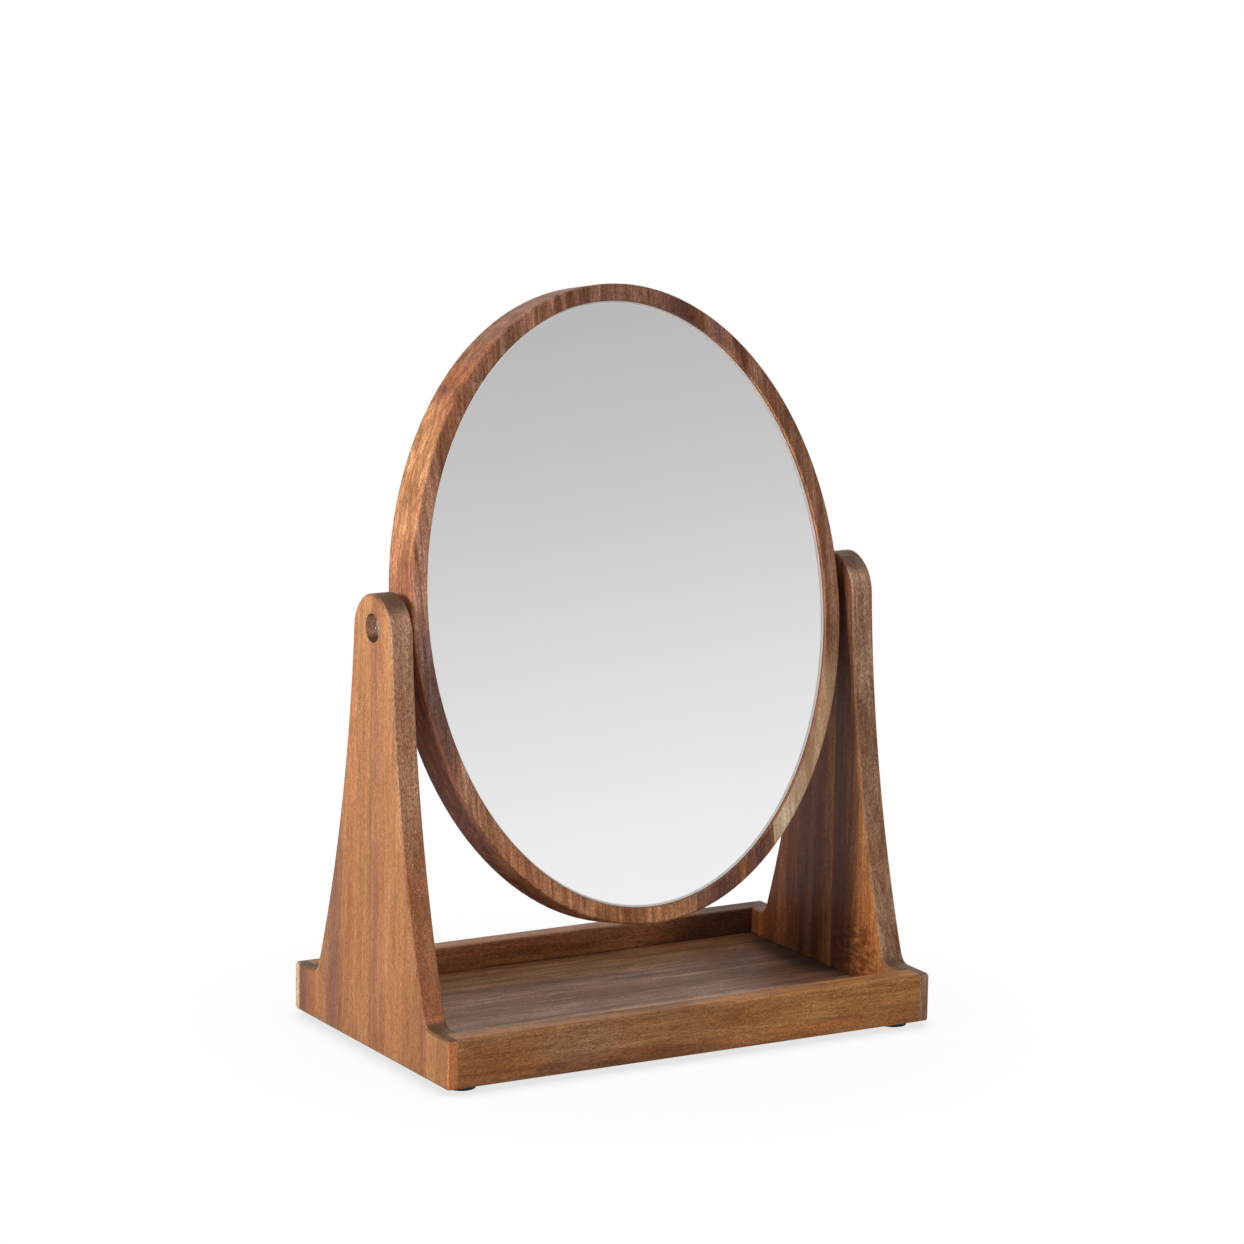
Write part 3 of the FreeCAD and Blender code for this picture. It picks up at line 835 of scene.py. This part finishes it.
# %% Which finish goes where
finishes = {
    **panel_finishes, **tray_finishes, "rail_dowels": dowel_finish,
    "mirror_frame": oval_finish, "mirror_glass": glass_finish, "mirror_adhesive": glue_finish,
    "left_pivot_screw": zinc_finish, "right_pivot_screw": zinc_finish,
    "left_head_washer": washer_finish, "right_head_washer": washer_finish,
    "left_pivot_spacer": nylon_finish, "right_pivot_spacer": nylon_finish,
    "left_threaded_insert": brass_finish, "right_threaded_insert": brass_finish,
    "front_left_foot": rubber_finish, "front_right_foot": rubber_finish,
    "back_left_foot": rubber_finish, "back_right_foot": rubber_finish}
for name, node in nodes.items():
    node.data.materials.clear()
    node.data.materials.append(finishes[name])
print("dressed:", len(finishes))

# %% [markdown]
# ## The studio floor
# The mirror stands on a white sheet. More light would turn the sheet white, but it would bleach
# the wood too. So the camera, reflections and whatever is seen through glass get most of the
# sheet's white from a plain glow, and the rest from the lit paper, which keeps the soft shadow
# under the tray. Close to the object the glow is dimmed, a painted contact shadow. The soft light
# that the sheet throws up onto the wood is the lit paper's alone.

# %% Floor
white = (1, 1, 1, 1)
sheet_half_size, sheet_drop = 3.0, -0.1 * MM
paper_grain, darkest_paper, lightest_paper = (900, 900, 900), 0.60, 0.64
contact_reach, painted_contact_shadow = 0.014, 0.80
shadow_ring, glow_near = (0.14, 0.24), 0.96


def white_sheet(half_size):
    """A square of white paper, a hair under the feet."""
    sheet = bmesh.new()
    bmesh.ops.create_grid(sheet, x_segments=2, y_segments=2, size=half_size)
    mesh = bpy.data.meshes.new("studio_floor")
    sheet.to_mesh(mesh)
    sheet.free()
    floor = bpy.data.objects.new("studio_floor", mesh)
    floor.location.z = sheet_drop
    bpy.context.scene.collection.objects.link(floor)
    return floor


def paper_finish():
    """Lit paper for the light that falls on the object, and mostly a glow for what looks at it,
    dimmed close to the object as a painted contact shadow.
    """
    material = bpy.data.materials.new("white_paper")
    material.use_nodes = True
    tree = material.node_tree
    tree.nodes.clear()
    place = put(tree, "TexCoord").outputs["Object"]
    away = put(tree, "VectorMath", place, operation="LENGTH").outputs["Value"]
    grain = remap(tree, noise(tree, scaled(tree, place, *paper_grain), 2.0), 0.3, 0.7,
                  darkest_paper, lightest_paper)
    paper = put(tree, "BsdfDiffuse", put(tree, "CombineColor", grain, grain, grain).outputs[0])
    # Close to the object the glow is dimmed by occlusion, a painted contact shadow.
    near = put(tree, "AmbientOcclusion", white, contact_reach, samples=8).outputs["AO"]
    glow = put(tree, "Emission", white, remap(tree, near, 0.3, 0.95, painted_contact_shadow, 1.0))
    rays = put(tree, "LightPath").outputs
    seen = calc(tree, "MAXIMUM", rays["Is Camera Ray"],
                calc(tree, "MAXIMUM", rays["Is Glossy Ray"], rays["Is Transmission Ray"]))
    share = calc(tree, "MULTIPLY", seen, remap(tree, away, *shadow_ring, glow_near, 1.0))
    mixed = put(tree, "MixShader", share, paper.outputs[0], glow.outputs[0])
    put(tree, "OutputMaterial", mixed.outputs[0])
    return material


studio_floor = white_sheet(sheet_half_size)
studio_floor.data.materials.append(paper_finish())
print("floor:", 2 * sheet_half_size, "m wide, at z", round(studio_floor.location.z, 5))

# %% [markdown]
# ## The studio's walls and light
# A tabletop mirror shows the room. A studio hangs a white sweep behind the camera that falls off
# into grey higher up, and the glass shows just that: pale at its foot and grey at its head. A real
# sheet could be hung there, but it would throw light of its own on the wood. So the world does it
# for reflections only, by the height of each ray. For lighting the wood, the same world is a plain
# even grey, and three soft lamps shape it: the strongest on the left, a weak one in front, and one
# above.

# %% World
even_light = 0.30
sweep_top = 0.5
sweep_levels = [(0.0, 1.0), (0.14, 0.95), (0.18, 0.905), (0.25, 0.76), (0.314, 0.62),
                (0.38, 0.52), (0.52, 0.42), (1.0, 0.34)]


def studio_world():
    """Even light for surfaces, white for the camera, and a falling grey for reflections. The
    sweep's levels are (share of its height, brightness)."""
    world = bpy.data.worlds.new("studio")
    bpy.context.scene.world = world
    world.use_nodes = True
    tree = world.node_tree
    tree.nodes.clear()
    toward = put(tree, "SeparateXYZ", put(tree, "TexCoord").outputs["Generated"]).outputs
    sweep = put(tree, "ValToRGB", straight(tree, toward[2], 0.0, sweep_top))
    stops = sweep.color_ramp.elements
    lowest, highest = sweep_levels[0][1], sweep_levels[-1][1]
    stops[0].color, stops[1].color = (lowest,) * 3 + (1,), (highest,) * 3 + (1,)
    for place, level in sweep_levels[1:-1]:
        stops.new(place).color = (level, level, level, 1)
    rays = put(tree, "LightPath").outputs
    seen = calc(tree, "MAXIMUM", rays["Is Camera Ray"], rays["Is Transmission Ray"])
    even = put(tree, "Background", white, even_light)
    grey = put(tree, "Background", sweep.outputs[0], 1.0)
    plain = put(tree, "Background", white, 1.0)
    behind = remap(tree, toward[1], -0.35, 0.25)
    gloss = put(tree, "MixShader", behind, grey.outputs[0], plain.outputs[0])
    lit = put(tree, "MixShader", rays["Is Glossy Ray"], even.outputs[0], gloss.outputs[0])
    final = put(tree, "MixShader", seen, lit.outputs[0], plain.outputs[0])
    put(tree, "OutputWorld", final.outputs[0])


studio_world()
print("world:", bpy.context.scene.world.name)

# %% Lamps
middle = (0, 0, 0.16)


def soft_lamp(name, place, size, watts):
    """A square softbox at a place, aimed at the middle of the object."""
    lamp = bpy.data.lights.new(name, "AREA")
    lamp.shape, lamp.size, lamp.energy = "SQUARE", size, watts
    box = bpy.data.objects.new(name, lamp)
    box.location = place
    box.rotation_mode = "QUATERNION"
    box.rotation_quaternion = (Vector(middle) - Vector(place)).to_track_quat("-Z", "Y")
    bpy.context.scene.collection.objects.link(box)
    return box


left = soft_lamp("left_softbox", place=(-1.5, -0.10, 0.55), size=0.45, watts=15.0)
front = soft_lamp("front_softbox", place=(0.55, -1.6, 0.75), size=1.0, watts=4.3)
above = soft_lamp("top_softbox", place=(0.1, 0.35, 1.5), size=1.0, watts=4.8)
# The front lamp would show in the glass as a bright square.
front.visible_glossy = False
for lamp in (left, front, above):
    print(lamp.name, round((lamp.location - Vector(middle)).length, 2), "m away")

# %% [markdown]
# ## The camera
# A long lens from the front left, looking slightly down, shows the outer face of one upright and
# the inner face of the other, and it keeps the uprights nearly parallel, as a close wide lens
# would not. A camera can be made to track a point, but three plain turns are easier to repeat:
# the compass direction, the downward tilt, and the small roll that a hand-set tripod leaves.

# %% Camera
sensor_mm, lens_mm = 36.0, 147.91
camera_place = (-1.13715, -1.95959, 0.64679)
compass, tilt, roll = math.radians(30.171), math.radians(11.4854), math.radians(1.0028)
camera = bpy.data.objects.new("camera", bpy.data.cameras.new("camera"))
camera.data.sensor_width, camera.data.lens = sensor_mm, lens_mm
stance = Matrix.Rotation(-compass, 4, "Z") @ Matrix.Rotation(math.pi / 2 - tilt, 4, "X")
camera.matrix_world = (Matrix.Translation(camera_place) @ stance
                       @ Matrix.Rotation(roll, 4, "Z"))
bpy.context.scene.collection.objects.link(camera)
bpy.context.scene.camera = camera
bpy.context.scene.view_settings.view_transform = "Standard"
print("camera", round((Vector(camera_place) - Vector(middle)).length, 2), "m away")
